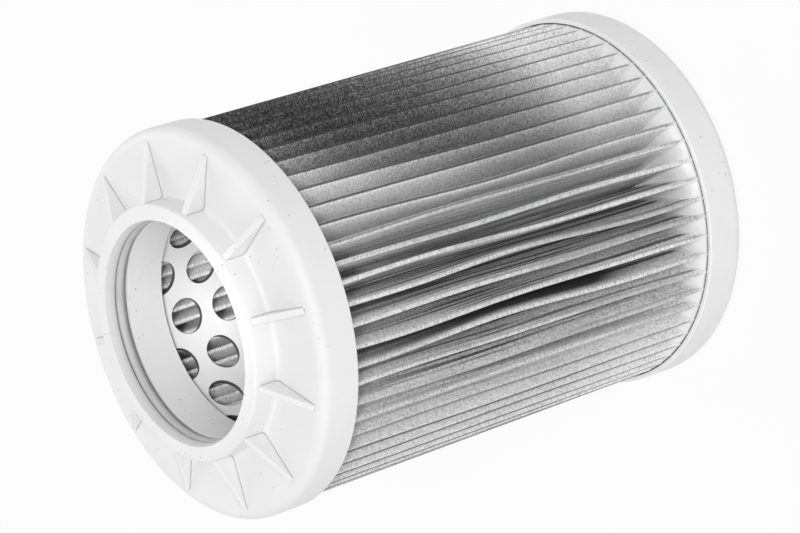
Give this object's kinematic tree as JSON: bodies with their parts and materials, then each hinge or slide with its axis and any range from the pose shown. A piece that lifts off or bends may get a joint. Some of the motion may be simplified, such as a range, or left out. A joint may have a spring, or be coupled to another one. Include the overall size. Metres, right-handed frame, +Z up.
{
  "type": "hydraulic filter element",
  "caption": "Pleated hydraulic filter element: woven-mesh pleats round a perforated core tube, between a closed cap and an open cap with a gusseted collar.",
  "frame": {"origin": "centre of the closed cap's flat outer face, on which the filter stands", "axes": "+Z up the filter axis from the closed cap to the collar; +X through one gusset"},
  "size_m": [0.092, 0.092, 0.1345],
  "materials": {
    "moulded_nylon": "fine satin moulding",
    "seal_rubber": "smooth, slightly greasy",
    "core_sheet": "tinned, satin",
    "mesh_media": "fine woven wire cloth over glass fibre",
    "potting_resin": "cast, soft gloss"
  },
  "bodies": {
    "root": {"open_end_cap": "moulded_nylon", "closed_end_cap": "moulded_nylon", "bore_seal": "seal_rubber", "core_tube": "core_sheet", "pleated_media": "mesh_media", "open_end_potting": "potting_resin", "closed_end_potting": "potting_resin"}
  },
  "joints": []
}
